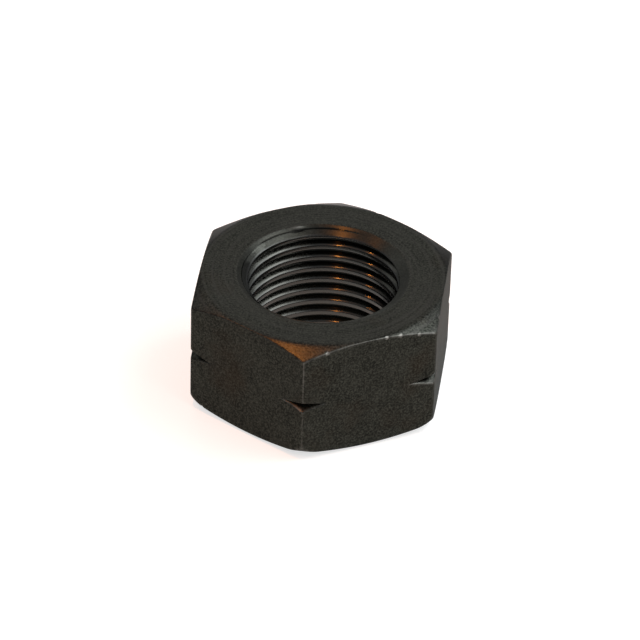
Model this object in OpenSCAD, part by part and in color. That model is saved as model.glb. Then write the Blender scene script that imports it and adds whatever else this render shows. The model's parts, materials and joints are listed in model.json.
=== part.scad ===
// Left-hand hex nut, M24 x 2, in the plain proportions of DIN 934.
// It is turned, tapped and marked from one length of hexagon bar, so it is one solid piece of steel.
// Millimetres. The origin is the centre of the lower bearing face, and +Z runs up the thread's axis.
// Two flats face -X and +X, and two corners point along -Y and +Y.

/* [Hexagon] */
// Width across the flats
across_flats = 36; // [34:0.1:36]
// Width across the corners, a little under a sharp hexagon's because the bar's corners are blunt
across_corners = 41.3; // [40:0.1:41.5]
// Height of the nut
nut_height = 19; // [15:0.1:24]

/* [Corner chamfers] */
// Diameter of the flat upper bearing face
upper_face_d = 35.8; // [30:0.1:36]
// Slope of the upper chamfer, down from that face
upper_chamfer_angle = 26; // [15:1:30]
// Diameter of the flat lower bearing face
lower_face_d = 34; // [30:0.1:36]
// Slope of the lower chamfer, up from that face
lower_chamfer_angle = 20; // [15:1:30]

/* [Thread] */
// Major diameter, at the bottom of the thread's groove
major_d = 24; // [23.8:0.05:24.2]
// Minor diameter, as drilled for tapping, which is also the thread's crests
minor_d = 22.1; // [21.85:0.05:22.2]
// Pitch, the rise in one turn
pitch = 2; // [1.5:0.5:2]
// Hand of the thread: 1 for left hand and 0 for right hand
left_hand = 1; // [0:1:1]
// Angle about the axis at which a crest crosses the plane of the lower face
thread_phase = 98; // [0:1:359]

/* [Countersinks] */
// Diameter of each countersink at the face
countersink_d = 25.4; // [24.5:0.1:25.9]
// Included angle of each countersink
countersink_angle = 120; // [90:5:120]

/* [Left-hand mark] */
// Diameter at the bottom of the groove that is turned across all six corners
mark_root_d = 38.4; // [37:0.1:40]
// Included angle of that groove
mark_angle = 56; // [45:1:90]

/* [Hidden] */

$fn = 96;
corner_r = across_corners / 2;
major_r = major_d / 2;
minor_r = minor_d / 2;
mark_height = nut_height / 2;

// How far a cutter reaches past the surface that it cuts
overcut = 0.3;

// Each flank of the thread leans this far from square to the axis
flank_angle = 30;
// Flat at the bottom of the thread's groove, an eighth of the pitch
root_flat = pitch / 8;

// Steps in one turn of the thread's cutter, and its turns, which overrun both faces
steps_per_turn = 36;
cutter_turns = ceil(nut_height / pitch) + 2;
cutter_steps = steps_per_turn * cutter_turns;

// Half the width along the axis of the thread's groove, at radius r
function groove_half(r) = root_flat / 2 + (major_r - r) * tan(flank_angle);

// Section of the groove as radius and height, which starts inside the drilled hole
near_r = minor_r - overcut;
groove_section = [
    [near_r, -groove_half(near_r)],
    [major_r, -groove_half(major_r)],
    [major_r, groove_half(major_r)],
    [near_r, groove_half(near_r)]
];
corners = len(groove_section);

// The section's corners at one step of a right-hand helix that starts below the lower face
function cutter_ring(step) =
    let (angle = 360 * step / steps_per_turn)
    let (lift = pitch * (step / steps_per_turn - 1.5))
    [for (p = groove_section) [p[0] * cos(angle), p[0] * sin(angle), p[1] + lift]];

// The sides between one ring and the next, as two triangles for each side
function cutter_sides(step) = [
    for (k = [0 : corners - 1])
        let (a = step * corners + k)
        let (b = step * corners + (k + 1) % corners)
        each [[a, a + corners, b], [b, a + corners, b + corners]]
];

// Helical sweep of the thread's groove
module thread_cutter() {
    start_cap = [for (k = [corners - 1 : -1 : 0]) k];
    end_cap = [for (k = [0 : corners - 1]) cutter_steps * corners + k];
    rotate([0, 0, thread_phase])
        mirror([0, left_hand, 0])
            polyhedron(
                points = [for (step = [0 : cutter_steps]) each cutter_ring(step)],
                faces = [
                    start_cap,
                    end_cap,
                    for (step = [0 : cutter_steps - 1]) each cutter_sides(step)
                ]
            );
}

// Hexagon bar, cut to length, with its corners blunted and turned to a cone at each end
module chamfered_bar() {
    upper_drop = (across_corners - upper_face_d) / 2 * tan(upper_chamfer_angle);
    lower_rise = (across_corners - lower_face_d) / 2 * tan(lower_chamfer_angle);
    intersection() {
        rotate([0, 0, 30])
            cylinder(d = across_flats / cos(30), h = nut_height, $fn = 6);
        rotate_extrude()
            polygon([
                [0, 0],
                [lower_face_d / 2, 0],
                [corner_r, lower_rise],
                [corner_r, nut_height - upper_drop],
                [upper_face_d / 2, nut_height],
                [0, nut_height]
            ]);
    }
}

// Cutter for the countersink in the lower face
module countersink() {
    slope = 1 / tan(countersink_angle / 2);
    mouth_r = countersink_d / 2;
    translate([0, 0, -overcut * slope])
        cylinder(
            r1 = mouth_r + overcut,
            r2 = minor_r - overcut,
            h = (mouth_r - minor_r + 2 * overcut) * slope
        );
}

// Cutter for the hole as drilled and countersunk from both faces
module drilled_hole() {
    translate([0, 0, -overcut])
        cylinder(r = minor_r, h = nut_height + 2 * overcut);
    countersink();
    translate([0, 0, nut_height])
        mirror([0, 0, 1])
            countersink();
}

// Cutter for the V groove at half height, which reaches the corners and misses the flats
module mark_cutter() {
    outer_r = corner_r + overcut;
    half = (outer_r - mark_root_d / 2) * tan(mark_angle / 2);
    translate([0, 0, mark_height])
        rotate_extrude()
            polygon([[mark_root_d / 2, 0], [outer_r, -half], [outer_r, half]]);
}

module nut() {
    color("#34322f")
        difference() {
            chamfered_bar();
            drilled_hole();
            thread_cutter();
            mark_cutter();
        }
}

nut();
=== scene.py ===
"""A left-hand M24 x 2 hex nut in blackened steel, standing on a pale studio floor."""

import json
import math

import bpy
import numpy as np
from mathutils import Matrix, Vector


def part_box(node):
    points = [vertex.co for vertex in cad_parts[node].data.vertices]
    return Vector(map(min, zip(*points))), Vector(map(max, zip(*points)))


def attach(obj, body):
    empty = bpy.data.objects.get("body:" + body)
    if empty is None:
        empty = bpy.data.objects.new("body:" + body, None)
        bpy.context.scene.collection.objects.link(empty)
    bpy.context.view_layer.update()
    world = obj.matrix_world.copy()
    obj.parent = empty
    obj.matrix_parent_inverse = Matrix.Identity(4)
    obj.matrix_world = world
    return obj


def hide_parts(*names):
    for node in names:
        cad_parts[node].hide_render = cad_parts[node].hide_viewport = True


MM = 0.001
TURN = 2 * math.pi

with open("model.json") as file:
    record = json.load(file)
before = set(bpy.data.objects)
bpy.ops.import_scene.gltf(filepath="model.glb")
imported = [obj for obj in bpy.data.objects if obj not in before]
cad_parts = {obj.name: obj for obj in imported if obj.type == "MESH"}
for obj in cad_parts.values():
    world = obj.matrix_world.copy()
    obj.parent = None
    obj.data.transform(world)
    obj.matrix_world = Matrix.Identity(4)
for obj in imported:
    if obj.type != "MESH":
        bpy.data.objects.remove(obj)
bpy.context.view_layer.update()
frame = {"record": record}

# ---- Sizes in millimetres, from the frame where it states them ----

nut_low, nut_high = (np.array(corner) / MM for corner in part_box("nut"))
thread_mount = next(m for m in frame["record"]["mounts"] if m["name"] == "thread")

height = nut_high[2] - nut_low[2]
flat_r = (nut_high[0] - nut_low[0]) / 2
corner_r = (nut_high[1] - nut_low[1]) / 2
minor_r = thread_mount["dims"]["r_mm"]

# The ends are turned: a flat ring, and a cone that takes the corners off
upper_face_r, upper_slope = 17.9, math.radians(26)
lower_face_r, lower_slope = 17.0, math.radians(20)

# The hole is countersunk at both ends to a slope of 30 degrees
mouth_r = 12.7
mouth_slope = math.radians(30)

# 60 degree thread on a left-hand helix. A crest meets the lower face's plane at the phase angle
pitch = 2.0
major_r = 12.0
flank_lean = math.radians(30)
root_flat = pitch / 8
thread_phase = math.radians(98)

# V groove across the corners at half height
mark_r = 19.2
mark_lean = math.radians(28)
mark_z = height / 2

# How round each kind of edge has worn. The upright corners are round out to the corner radius. The
# turned blank is a little wider, and meets each cone at a worn tip
corner_round = (flat_r - corner_r * math.cos(TURN / 12)) / (1 - math.sqrt(0.5))
blank_r = corner_r + 0.17
outer_edge = 0.16
crest_edge, mouth_edge = 0.075, 0.1
thread_root = 0.12
upper_tip = 0.3
lower_tip = 1.4

# Fine line that the countersinking tool left round part of the upper countersink
tool_line_r = 12.13
tool_line_depth, tool_line_width = 0.12, 0.1
tool_line_start, tool_line_end = math.radians(62), math.radians(152)

# Scrap of metal turned up on the same countersink: bearing, radius, height, half its length and width
burr_bearing, burr_r, burr_height = math.radians(116), 12.42, 0.13
burr_length, burr_width = 0.95, 0.2

# The pit that it came from, which lies this much nearer the hole and is as long
pit_inset, pit_width, pit_depth = 0.36, 0.14, 0.16

# Dents along the edges: bearing of the hexagon's side in degrees, place along it, height above the
# base, and radius
dents = [
    (300, -6.7, 18.45, 0.3),
    (300, -4.3, 18.95, 0.25),
    (300, 2.5, 19.0, 0.34),
    (300, 4.7, 18.8, 0.32),
    (300, 7.6, 18.25, 0.28),
    (0, -7.2, 18.3, 0.3),
    (60, 3.4, 18.9, 0.35),
    (120, -5.9, 18.6, 0.3),
    (180, 6.4, 0.7, 0.35),
    (240, -8.2, 0.9, 0.3),
]

# Wear of the upper rim on each side of the hexagon and of the lower one, and on each corner of the
# groove's lower lip and of the upright edge
rim_wear = [0.1, 0.15, 0.2, 0.1, 0.04, 0.22]
lower_rim_wear = 0.12
lip_wear = [0.2, 0.1, 0.2, 0.05, 0.06, 0.3]
upright_wear = [0.1, 0.15, 0.2, 0.05, 0.22, 0.05]

# The groove's lower lip is rounder on the left of the front corner, and has a painted highlight there:
# bare steel colour that catches the warm lamp. How far below the groove's middle, and half its length
# and height
front_lip_highlight, front_lip_round = 0.5, 0.2
front_lip_bearing, front_lip_drop = math.radians(265.5), 0.4
front_lip_length, front_lip_height = 1.4, 0.5


# ---- The nut's surfaces, as distances that are negative in the steel ----

def smooth_step(low, high, value):
    """0 up to low, 1 from high, and a soft rise between them."""
    share = np.clip((value - low) / (high - low), 0, 1)
    return share * share * (3 - 2 * share)


def rounded(distances, radius):
    """Distance from the solid inside all these surfaces, with its edges rounded."""
    stack = np.array(distances)
    inside = np.minimum(stack.max(axis=0), -radius)
    return inside + np.sqrt((np.maximum(stack + radius, 0) ** 2).sum(axis=0))


def turned_blank(r, z):
    """Blunt corners and the cone at each end, which meet at a worn tip."""
    upper = z > height / 2
    face_r = np.where(upper, upper_face_r, lower_face_r)
    slope = np.where(upper, upper_slope, lower_slope)
    from_end = np.where(upper, height - z, z)
    cone = (r - face_r) * np.sin(slope) - from_end * np.cos(slope)
    return rounded([r - blank_r, cone], np.where(upper, upper_tip, lower_tip))


def tapped_groove(r, angle, z):
    """The thread's groove. This one is negative in the groove, not in the steel."""
    crest_z = pitch * (thread_phase - angle) / TURN
    off_middle = np.abs((z - crest_z) % pitch - pitch / 2)
    wall_r = major_r + root_flat / 2 / math.tan(flank_lean)
    flanks = off_middle * math.cos(flank_lean) - (wall_r - r) * math.sin(flank_lean)
    return rounded([flanks, r - major_r], thread_root)


def dent_centre(side, along, z):
    """Point just outside one of the six flats' edges."""
    angle = math.radians(side)
    out = flat_r + 0.12
    x = out * math.cos(angle) - along * math.sin(angle)
    y = out * math.sin(angle) + along * math.cos(angle)
    return np.array([x, y, z])


def surfaces(points):
    """Distance of every point from each surface that bounds the steel."""
    x, y, z = points.T
    r = np.hypot(x, y)
    angle = np.arctan2(y, x)
    from_flat = np.abs((angle + TURN / 12) % (TURN / 6) - TURN / 12)
    from_end = np.minimum(z, height - z)
    found = [
        r * np.cos(from_flat) - flat_r,
        r * np.cos(TURN / 6 - from_flat) - flat_r,
        turned_blank(r, z),
        z - height,
        -z,
        (r - mark_r) * math.sin(mark_lean) - np.abs(z - mark_z) * math.cos(mark_lean),
        minor_r - r,
        (mouth_r - r) * math.sin(mouth_slope) - from_end * math.cos(mouth_slope),
        -tapped_groove(r, angle, z),
    ]
    for side, along, dent_z, size in dents:
        found.append(size - np.linalg.norm(points - dent_centre(side, along, dent_z), axis=1))
    return np.array(found)


def edge_radius(points):
    """Radius that edges have worn to: the thread's crests, the mouths of the hole, and outside."""
    r = np.hypot(points[:, 0], points[:, 1])
    bearing = np.arctan2(points[:, 1], points[:, 0]) % TURN
    off_crest = smooth_step(minor_r + 0.3, minor_r + 0.8, r)
    outside = smooth_step(mouth_r, mouth_r + 1.5, r)
    along_lip = (bearing - front_lip_bearing) * r / front_lip_length
    across_lip = (points[:, 2] - mark_z + front_lip_drop) / front_lip_height
    rubbed_lip = np.exp(-np.hypot(along_lip, across_lip) ** 4) * (r > mark_r - 0.3) * front_lip_round
    radius = crest_edge + (mouth_edge - crest_edge) * off_crest + (outer_edge - mouth_edge) * outside
    return radius + rubbed_lip


def steel(points):
    """Distance from the whole nut's worn surface."""
    found = surfaces(points)
    hexagon = rounded(found[:2], corner_round)
    return rounded([hexagon, *found[2:]], edge_radius(points))


def settle(points, rounds=8, reach=0.002):
    """Moves points onto the nut's worn surface along its slope."""
    for _ in range(rounds):
        gap = steel(points)
        slope = np.stack(
            [(steel(points + step) - steel(points - step)) / (2 * reach) for step in reach * np.eye(3)],
            axis=1,
        )
        steepness = np.maximum((slope ** 2).sum(axis=1), 0.25)
        points = points - slope * (gap / steepness)[:, None]
    return points


# ---- The mesh: columns round the axis, and rows along the outline of each column ----

half_sector_columns = 40
crowding = 0.35

# Rows in each stretch of the outline, from the lower mouth round the outside to the upper mouth,
# and then down each countersink. The outside has twice the hole's columns, and the two are stitched
# together on the end faces
outside_rows = [12, 8, 14, 4, 4, 14, 8, 12]
upper_mouth_rows, lower_mouth_rows = [3, 20], [12, 3]
stitch_r = mouth_r + 0.5
crest_rows, flank_rows, root_rows = 5, 5, 3


def column_angles():
    """Angles of the outside columns, crowded towards the six corners."""
    share = np.arange(half_sector_columns) / half_sector_columns
    rise = TURN / 12 * share * (crowding + (1 - crowding) * share)
    sector = np.concatenate([rise, TURN / 6 - np.append(rise[1:], TURN / 12)[::-1]])
    return np.concatenate([TURN / 12 + side * TURN / 6 + sector for side in range(6)])


def eased(count):
    """Shares from 0 to 1 that crowd towards both."""
    return 0.5 - 0.5 * np.cos(np.pi * np.arange(count + 1) / count)


def walk(corners, rows):
    """Rows of (r, z) that join the outline's corners in order."""
    found = [corners[0]]
    for start, end, count in zip(corners, corners[1:], rows):
        found += [start + (end - start) * share for share in eased(count)[1:]]
    return np.array(found)


def outline(r, z, like):
    """One corner of the outline at every column, as an array of (r, z)."""
    return np.stack(np.broadcast_arrays(r, z, like)[:2], axis=1)


def outside_corners(angles):
    """The outline's corners from the lower face, up the side, to the upper face."""
    from_flat = np.abs((angles + TURN / 12) % (TURN / 6) - TURN / 12)
    side_r = np.minimum(flat_r / np.cos(from_flat), corner_r)
    lower_z = (side_r - lower_face_r) * math.tan(lower_slope)
    upper_z = height - (side_r - upper_face_r) * math.tan(upper_slope)
    depth = side_r - mark_r
    half_mark = np.maximum(depth, 0.15) * math.tan(mark_lean)
    corners = [
        (stitch_r, 0),
        (lower_face_r, 0),
        (side_r, lower_z),
        (side_r, mark_z - half_mark),
        (side_r - np.maximum(depth, 0), mark_z),
        (side_r, mark_z + half_mark),
        (side_r, upper_z),
        (upper_face_r, height),
        (stitch_r, height),
    ]
    return [outline(r, z, angles) for r, z in corners]


def thread_offsets():
    """Heights of the rows in one pitch, counted from the middle of a crest."""
    groove_half = root_flat / 2 + (major_r - minor_r) * math.tan(flank_lean)
    crest_half = pitch / 2 - groove_half
    stretches = [
        (-crest_half, crest_half, crest_rows),
        (crest_half, pitch / 2 - root_flat / 2, flank_rows),
        (pitch / 2 - root_flat / 2, pitch / 2 + root_flat / 2, root_rows),
        (pitch / 2 + root_flat / 2, pitch - crest_half, flank_rows),
    ]
    return np.concatenate([low + (high - low) * eased(n)[:-1] for low, high, n in stretches])


def placed(rows, angles):
    """Points in space for rows of (r, z) at these column angles."""
    r, z = rows[..., 0], rows[..., 1]
    return np.stack([r * np.cos(angles), r * np.sin(angles), z], axis=-1)


def strip_faces(index):
    """Quads between neighbouring rows and columns. The last column repeats the first."""
    quads = np.stack([index[:-1, :-1], index[:-1, 1:], index[1:, 1:], index[1:, :-1]], axis=-1)
    return quads.reshape(-1, 4)


def without_repeats(faces):
    """The same faces with repeated corners merged, and those with no area left out."""
    kept = []
    for face in faces:
        corners = [int(v) for v, before in zip(face, np.roll(face, 1)) if v != before]
        if len(corners) > 2:
            kept.append(corners)
    return kept


def closed(index):
    """Columns of indices with the first one added again at the end."""
    return np.concatenate([index, index[:, :1]], axis=1)


def stitch(fine, coarse, flip):
    """Triangles that join a ring to one with half as many points."""
    found = []
    for near in range(len(coarse)):
        a, b, c = fine[2 * near], fine[2 * near + 1], fine[(2 * near + 2) % len(fine)]
        d, e = coarse[near], coarse[(near + 1) % len(coarse)]
        found += [(a, b, d), (b, c, e), (b, e, d)]
    return [face[::-1] for face in found] if flip else found


def thread_rows(angles, low_z, high_z):
    """Heights of the helical rows at every column, with those past the ends moved to them."""
    offsets = thread_offsets()
    turns = np.arange(-2, math.ceil(height / pitch) + 3)
    levels = (turns[:, None] * pitch + offsets).ravel()
    heights = levels[:, None] + pitch * (thread_phase - angles) / TURN
    sliver = 0.01
    heights = np.where(heights < low_z + sliver, low_z, heights)
    heights = np.where(heights > high_z - sliver, high_z, heights)
    return heights, len(offsets)


def hole_radius(z, angles):
    """Radius of the tapped and countersunk hole before its edges are worn."""
    crest_z = pitch * (thread_phase - angles) / TURN
    off_middle = np.abs((z - crest_z) % pitch - pitch / 2)
    groove_r = major_r - (off_middle - root_flat / 2) / math.tan(flank_lean)
    cone_r = mouth_r - np.minimum(z, height - z) / math.tan(mouth_slope)
    return np.maximum(np.maximum(minor_r, cone_r), np.minimum(groove_r, major_r))


def nut_points_and_faces():
    """The nut's sharp outline as points and faces."""
    fine = column_angles()
    coarse = fine[::2]
    inner_r = stitch_r - 0.15
    end_depth = (mouth_r - major_r) * math.tan(mouth_slope)
    upper_corners = [(inner_r, height), (mouth_r, height), (major_r, height - end_depth)]
    lower_corners = [(major_r, end_depth), (mouth_r, 0), (inner_r, 0)]
    outside = walk(outside_corners(fine), outside_rows)
    upper = walk([outline(r, z, coarse) for r, z in upper_corners], upper_mouth_rows)
    lower = walk([outline(r, z, coarse) for r, z in lower_corners], lower_mouth_rows)

    points, start = [], 0
    indices = []
    for rows, angles in ((outside, fine), (upper, coarse), (lower, coarse)):
        points.append(placed(rows, angles).reshape(-1, 3))
        indices.append(start + np.arange(rows.shape[0] * rows.shape[1]).reshape(rows.shape[:2]))
        start += rows.shape[0] * rows.shape[1]
    outside_index, upper_index, lower_index = indices

    heights, pitch_rows = thread_rows(coarse, end_depth, height - end_depth)
    thread_index = np.where(heights <= end_depth, lower_index[0], upper_index[-1])
    inside = (heights > end_depth) & (heights < height - end_depth)
    thread_index[inside] = start + np.arange(inside.sum())
    spread = np.broadcast_to(coarse, heights.shape)
    radii = hole_radius(heights, spread)
    rows = np.stack([radii, heights], axis=-1)
    points.append(placed(rows, spread)[inside])

    # One turn on, the helical rows have dropped by a pitch
    dropped = np.concatenate([np.full(pitch_rows, lower_index[0, 0]), thread_index[:-pitch_rows, 0]])
    thread_index = np.concatenate([thread_index, dropped[:, None]], axis=1)

    faces = []
    for index in (outside_index, upper_index, lower_index):
        faces += strip_faces(closed(index)).tolist()
    faces += without_repeats(strip_faces(thread_index)[:, ::-1])
    faces += stitch(outside_index[-1], upper_index[0], flip=False)
    faces += stitch(outside_index[0], lower_index[-1], flip=True)
    return np.concatenate(points), faces


def tool_marks(points):
    """Heights to add on the upper countersink, a mask of its cuts, where shade is painted black, and a
    mask of its burr.
    """
    r = np.hypot(points[:, 0], points[:, 1])
    bearing = np.arctan2(points[:, 1], points[:, 0])
    upper = smooth_step(height - 1.2, height - 0.8, points[:, 2])
    fade = smooth_step(tool_line_start, tool_line_start + 0.5, bearing)
    fade *= 1 - smooth_step(tool_line_end - 0.15, tool_line_end, bearing)
    line = upper * fade * np.exp(-((r - tool_line_r) / tool_line_width) ** 2)
    arc = (bearing - burr_bearing) * burr_r
    burr = upper * np.exp(-(arc / burr_length) ** 4 - ((r - burr_r) / burr_width) ** 2)
    pit = upper * np.exp(-(arc / burr_length) ** 4 - ((r - burr_r + pit_inset) / pit_width) ** 2)
    lift = burr_height * burr - tool_line_depth * line - pit_depth * pit
    return lift, np.maximum(line, pit), burr


def met(first, second, width):
    """1 where two surfaces meet, and down to 0 at this distance below either."""
    return smooth_step(-width, -width / 4, np.minimum(first, second))


def wear_and_highlight(points):
    """How far each point's oxide has rubbed through, with the front lip's painted highlight: 0
    untouched, 1 bare steel.
    """
    x, y, z = points.T
    r = np.hypot(x, y)
    angle = np.arctan2(y, x) % TURN
    side = np.round(angle / (TURN / 6)) % 6
    corner = np.floor(angle / (TURN / 6)) % 6
    off_corner = np.abs(angle % (TURN / 6) - TURN / 12) * r
    flat, next_flat, blank, _, _, mark = surfaces(points)[:6]
    upper_rim = met(flat, blank, 0.14) * np.choose(side.astype(int), rim_wear) * (z > height / 2)
    lower_rim = met(flat, blank, 0.12) * lower_rim_wear * (z < height / 2)
    lip = met(flat, mark, 0.14) * np.choose(corner.astype(int), lip_wear) * (z < mark_z)

    # The upright edges have rubbed most near the top
    upright = (1 - smooth_step(0.05, 0.2, off_corner)) * smooth_step(-0.2, -0.13, next_flat)
    upright *= np.choose(corner.astype(int), upright_wear) * (0.4 + 0.6 * smooth_step(11, 17, z))

    dented = smooth_step(-0.1, 0.03, surfaces(points)[9:].max(axis=0))
    # Painted highlight: bare steel colour on the front corner's lower lip, to catch the warm lamp
    front_lip = front_lip_highlight * smooth_step(-0.3, -0.12, flat) * smooth_step(-0.12, -0.04, mark)
    front_lip *= (z < mark_z) * (side == 4) * (corner == 4) * smooth_step(18.9, 19.6, r)
    return np.max([front_lip, upper_rim, lower_rim, lip, upright, dented], axis=0)


def turned(points):
    """1 on the faces, cones and groove, which were turned on the lathe."""
    found = surfaces(points)
    faces = np.max(found[2:6], axis=0)
    return smooth_step(-0.05, 0.0, faces - found[0]) * (found[7] < -0.02)


def nut_piece():
    """The whole nut as one closed mesh, in metres."""
    points, faces = nut_points_and_faces()
    points = settle(points)
    lift, cut, burr = tool_marks(points)
    points[:, 2] = np.minimum(points[:, 2] + lift, height)
    mesh = bpy.data.meshes.new("hex_nut")
    mesh.from_pydata((points * MM).tolist(), [], faces)
    mesh.shade_smooth()
    inside = 1 - smooth_step(mouth_r - 0.15, mouth_r + 0.1, np.hypot(points[:, 0], points[:, 1]))
    crest = 1 - smooth_step(minor_r + 0.03, minor_r + 0.16, np.hypot(points[:, 0], points[:, 1]))
    masks = {
        "worn_and_highlit": np.maximum(wear_and_highlight(points), 0.2 * burr),
        "turned": turned(points),
        "inside": inside,
        "crest": crest,
        # Painted shade: black in the tool's cut and in the pit
        "cut": cut,
    }
    for name, values in masks.items():
        mesh.attributes.new(name, "FLOAT", "POINT").data.foreach_set("value", values.astype(np.float32))
    piece = bpy.data.objects.new("hex_nut", mesh)
    bpy.context.scene.collection.objects.link(piece)
    even = piece.modifiers.new("even_shading", "WEIGHTED_NORMAL")
    even.weight = 100
    return piece


# ---- Materials ----

def colour(code):
    """sRGB hex to the linear colour that a shader takes."""
    channels = [int(code[at:at + 2], 16) / 255 for at in (1, 3, 5)]
    linear = [c / 12.92 if c <= 0.04045 else ((c + 0.055) / 1.055) ** 2.4 for c in channels]
    return (*linear, 1.0)


def add(tree, kind, links=None, **settings):
    """Adds a node. Links go from sockets or values to its inputs, by name or number."""
    node = tree.nodes.new(kind)
    for name, value in settings.items():
        setattr(node, name, value)
    for name, value in (links or {}).items():
        if isinstance(value, bpy.types.NodeSocket):
            tree.links.new(value, node.inputs[name])
        else:
            node.inputs[name].default_value = value
    return node


def new_material(name):
    material = bpy.data.materials.new(name)
    material.use_nodes = True
    return material, material.node_tree, material.node_tree.nodes["Principled BSDF"]


def blackened_steel():
    """Machined steel with an oiled black oxide: near black, satin, mottled, and bare where rubbed.
    Light is painted paler into the hole, shade black into the tool's cut, and one lip carries a painted
    highlight.
    """
    material, tree, shader = new_material("blackened_steel")

    def noise(place, size, **inputs):
        """Noise whose patches are about this large, in its vector's own units."""
        inputs = {"Vector": place, "Scale": 1 / size, **inputs}
        return add(tree, "ShaderNodeTexNoise", inputs).outputs["Fac"]

    def blend(share, first, second):
        return add(tree, "ShaderNodeMix", {0: share, 6: first, 7: second}, data_type="RGBA").outputs[2]

    def level(share, low, high, to_low=0.0, to_high=1.0):
        """Stretches the range low to high over the other range."""
        links = {0: share, 1: low, 2: high, 3: to_low, 4: to_high}
        return add(tree, "ShaderNodeMapRange", links).outputs[0]

    def math_of(operation, first, second):
        return add(tree, "ShaderNodeMath", {0: first, 1: second}, operation=operation).outputs[0]

    def vector_of(operation, *vectors):
        return add(tree, "ShaderNodeVectorMath", dict(enumerate(vectors)), operation=operation)

    def attribute(name):
        return add(tree, "ShaderNodeAttribute", attribute_name=name).outputs["Fac"]

    place = add(tree, "ShaderNodeTexCoord").outputs["Object"]
    worn_and_highlit, on_lathe, inside, crest = [attribute(name) for name in ("worn_and_highlit", "turned", "inside", "crest")]

    # Rings that the lathe tool left: noise in radius, which changes slowly round the axis
    level_place = vector_of("MULTIPLY", place, (1, 1, 0)).outputs["Vector"]
    radius = vector_of("LENGTH", level_place).outputs["Value"]
    bearing = vector_of("NORMALIZE", level_place).outputs["Vector"]
    ring = math_of("DIVIDE", radius, 0.35 * MM)
    lift = add(tree, "ShaderNodeCombineXYZ", {"Z": ring}).outputs[0]
    rings = noise(vector_of("ADD", bearing, lift).outputs["Vector"], 1.0, Detail=4)

    # Thin and thick patches of oxide, a fine speckle in it, and brown stains
    patches = noise(place, 3.5 * MM, Detail=5, Roughness=0.6)
    speckle = noise(place, 0.28 * MM, Detail=2, Roughness=0.7)
    stains = noise(place, 9 * MM, Detail=3)
    oxide_and_painted_light = blend(level(patches, 0.35, 0.65), colour("#191a17"), colour("#252622"))
    oxide_and_painted_light = blend(level(speckle, 0.4, 0.68, 0, 1), oxide_and_painted_light, colour("#42433d"))
    oxide_and_painted_light = blend(level(stains, 0.55, 0.75, 0, 0.35), oxide_and_painted_light, colour("#31251a"))
    ring_share = math_of("MULTIPLY", level(rings, 0.4, 0.7, 0, 0.6), on_lathe)
    oxide_and_painted_light = blend(ring_share, oxide_and_painted_light, colour("#3f3e3b"))

    # The hole and its countersinks are painted paler, as painted light that lifts the shade in them,
    # and the crests a little darker
    oxide_and_painted_light = blend(level(inside, 0, 1, 0, 0.45), oxide_and_painted_light, colour("#474742"))
    oxide_and_painted_light = blend(level(crest, 0, 1, 0, 0.4), oxide_and_painted_light, colour("#2c2c29"))
    # Painted shade: the tool's cut and the pit beside the burr are black
    oxide_and_painted_light = blend(attribute("cut"), oxide_and_painted_light, colour("#0a0a09"))

    # Rubbed edges show the bright steel, in patches, and the front lip shows it as a painted highlight
    rubbed_and_highlit = math_of("MULTIPLY", worn_and_highlit, level(noise(place, 1.1 * MM, Detail=3), 0.3, 0.6, 0.35, 1.0))
    tree.links.new(blend(rubbed_and_highlit, oxide_and_painted_light, colour("#b4b2ac")), shader.inputs["Base Color"])

    # The flats are dull, and the turned and drilled surfaces are smoother
    satin = math_of("ADD", level(on_lathe, 0, 1, 0.6, 0.34), level(inside, 0, 1, 0, -0.18))
    satin = math_of("ADD", satin, level(crest, 0, 1, 0, 0.05))
    satin = math_of("ADD", satin, level(speckle, 0.3, 0.7, -0.04, 0.04))
    tree.links.new(satin, shader.inputs["Roughness"])
    shader.inputs["Metallic"].default_value = 1.0
    shader.inputs["Specular Tint"].default_value = colour("#d2d2d2")

    # The drill and the tap left fine marks round the hole, most of all on the crests. They spread
    # reflections up and down but not sideways
    along = math_of("ADD", level(inside, 0, 1, 0, 0.88), level(crest, 0, 1, 0, 0.08))
    tree.links.new(along, shader.inputs["Anisotropic"])
    shader.inputs["Anisotropic Rotation"].default_value = 0.25
    round_axis = add(tree, "ShaderNodeTangent", direction_type="RADIAL", axis="Z").outputs[0]
    tree.links.new(round_axis, shader.inputs["Tangent"])

    # Oil film that the crests keep
    tree.links.new(level(crest, 0, 1, 0, 0.9), shader.inputs["Coat Weight"])
    shader.inputs["Coat Roughness"].default_value = 0.24

    # Grain of the oxide, which the hole has little of, and the lathe's rings
    grain = math_of("MULTIPLY", speckle, level(inside, 0, 1, 1, 0.15))
    relief = math_of("ADD", grain, math_of("MULTIPLY", rings, on_lathe))
    bump = add(tree, "ShaderNodeBump", {"Height": relief, "Distance": 0.006 * MM, "Strength": 1.0})
    tree.links.new(bump.outputs[0], shader.inputs["Normal"])
    return material


def studio_floor():
    """Pale acrylic of a light table: matt, and it glows a little."""
    material, _, shader = new_material("pale_acrylic")
    shader.inputs["Base Color"].default_value = colour("#c0c0be")
    shader.inputs["Roughness"].default_value = 0.9
    shader.inputs["Emission Color"].default_value = colour("#ffffff")
    shader.inputs["Emission Strength"].default_value = 0.66
    return material


# ---- The object ----

nut = nut_piece()
nut.data.materials.append(blackened_steel())
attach(nut, "root")
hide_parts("nut")


# ---- Floor, light and camera ----

nut_centre = Vector((0, 0, height / 2 * MM))


def add_floor():
    """A square floor, just under the nut."""
    half, gap = 2.0, 0.02 * MM
    corners = [(-half, -half, 0), (half, -half, 0), (half, half, 0), (-half, half, 0)]
    mesh = bpy.data.meshes.new("floor")
    mesh.from_pydata(corners, [], [(0, 1, 2, 3)])
    floor = bpy.data.objects.new("floor", mesh)
    floor.location.z = -gap
    mesh.materials.append(studio_floor())
    bpy.context.scene.collection.objects.link(floor)


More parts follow.
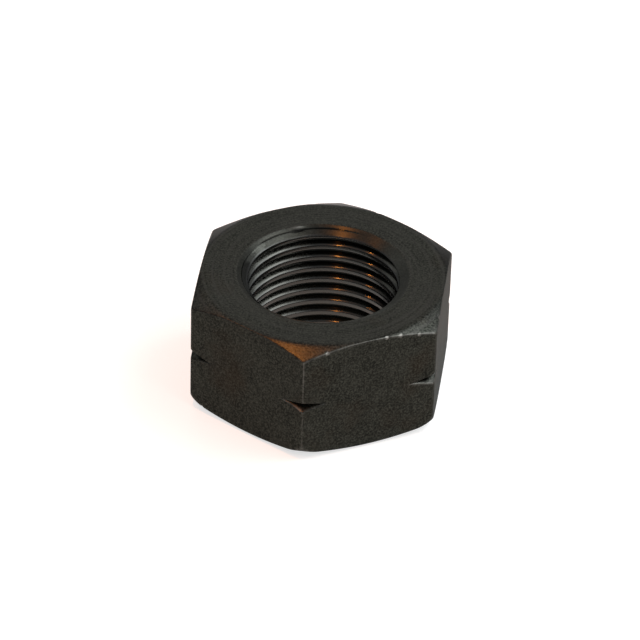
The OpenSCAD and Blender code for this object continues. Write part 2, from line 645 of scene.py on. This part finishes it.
def from_nut(azimuth, elevation):
    """Direction seen from the nut. Azimuth 0 is in front of it, and 90 is on its right."""
    level_share = math.cos(elevation)
    return Vector((
        math.sin(azimuth) * level_share,
        -math.cos(azimuth) * level_share,
        math.sin(elevation),
    ))


def add_softbox(name, azimuth, elevation, distance, size, brightness, tint):
    """A square light that faces the nut, as bright as this many times a white card."""
    light = bpy.data.lights.new(name, "AREA")
    light.size = size
    light.energy = brightness * math.pi * size ** 2
    light.color = colour(tint)[:3]
    lamp = bpy.data.objects.new(name, light)
    towards = from_nut(math.radians(azimuth), math.radians(elevation))
    lamp.location = nut_centre + towards * distance
    lamp.rotation_euler = towards.to_track_quat("Z", "Y").to_euler()
    bpy.context.scene.collection.objects.link(lamp)


def add_camera():
    """A long lens in front of the nut, a little to its right, that looks down on it."""
    azimuth, elevation, roll = (math.radians(a) for a in (6.58, 35.57, 1.76))
    distance, aside, above = 0.60274, 0.00023, -0.00083
    back = from_nut(azimuth, elevation)
    level = Vector((math.cos(azimuth), math.sin(azimuth), 0))
    upright = back.cross(level)
    right = level * math.cos(roll) + upright * math.sin(roll)
    up = upright * math.cos(roll) - level * math.sin(roll)
    lens = bpy.data.cameras.new("camera")
    lens.sensor_width = 36
    lens.lens = 229.3
    camera = bpy.data.objects.new("camera", lens)
    camera.matrix_world = Matrix((right, up, back)).transposed().to_4x4()
    camera.location = nut_centre + back * distance - right * aside - up * above
    bpy.context.scene.collection.objects.link(camera)
    bpy.context.scene.camera = camera


def add_world():
    """White surroundings, a little cooler than the floor."""
    world = bpy.data.worlds.new("white_surround")
    world.use_nodes = True
    background = world.node_tree.nodes["Background"]
    background.inputs["Color"].default_value = colour("#f4f7ff")
    background.inputs["Strength"].default_value = 0.36
    bpy.context.scene.world = world


add_floor()
add_world()

# Cool daylight comes from a window on the right, whose edges are soft
daylight, plain_white, cream, lamp_glow = "#f4f9ff", "#ffffff", "#fffdf8", "#ff9a40"
add_softbox("window", 112, 50, distance=0.8, size=0.45, brightness=3.1, tint=daylight)
add_softbox("window_glow", 114, 50, distance=0.85, size=0.75, brightness=0.9, tint=daylight)

# Cards lighten the right side, the left side and the top face
add_softbox("side_fill", 75, 46, distance=1.0, size=0.9, brightness=1.7, tint=plain_white)
add_softbox("left_card", 229, 42, distance=0.7, size=0.3, brightness=0.7, tint=plain_white)
add_softbox("backdrop", 186, 34, distance=0.7, size=0.5, brightness=0.68, tint=cream)

# Three small warm lamps make the glints on the thread, the front groove's lower lip and the front
# chamfer
add_softbox("lamp", 292, 77.5, distance=0.5, size=0.03, brightness=240, tint=lamp_glow)
add_softbox("low_lamp", 335.5, 56, distance=0.6, size=0.03, brightness=130, tint=lamp_glow)
add_softbox("far_lamp", 258, 56, distance=0.7, size=0.03, brightness=115, tint=lamp_glow)

add_camera()
bpy.context.scene.view_settings.view_transform = "Standard"
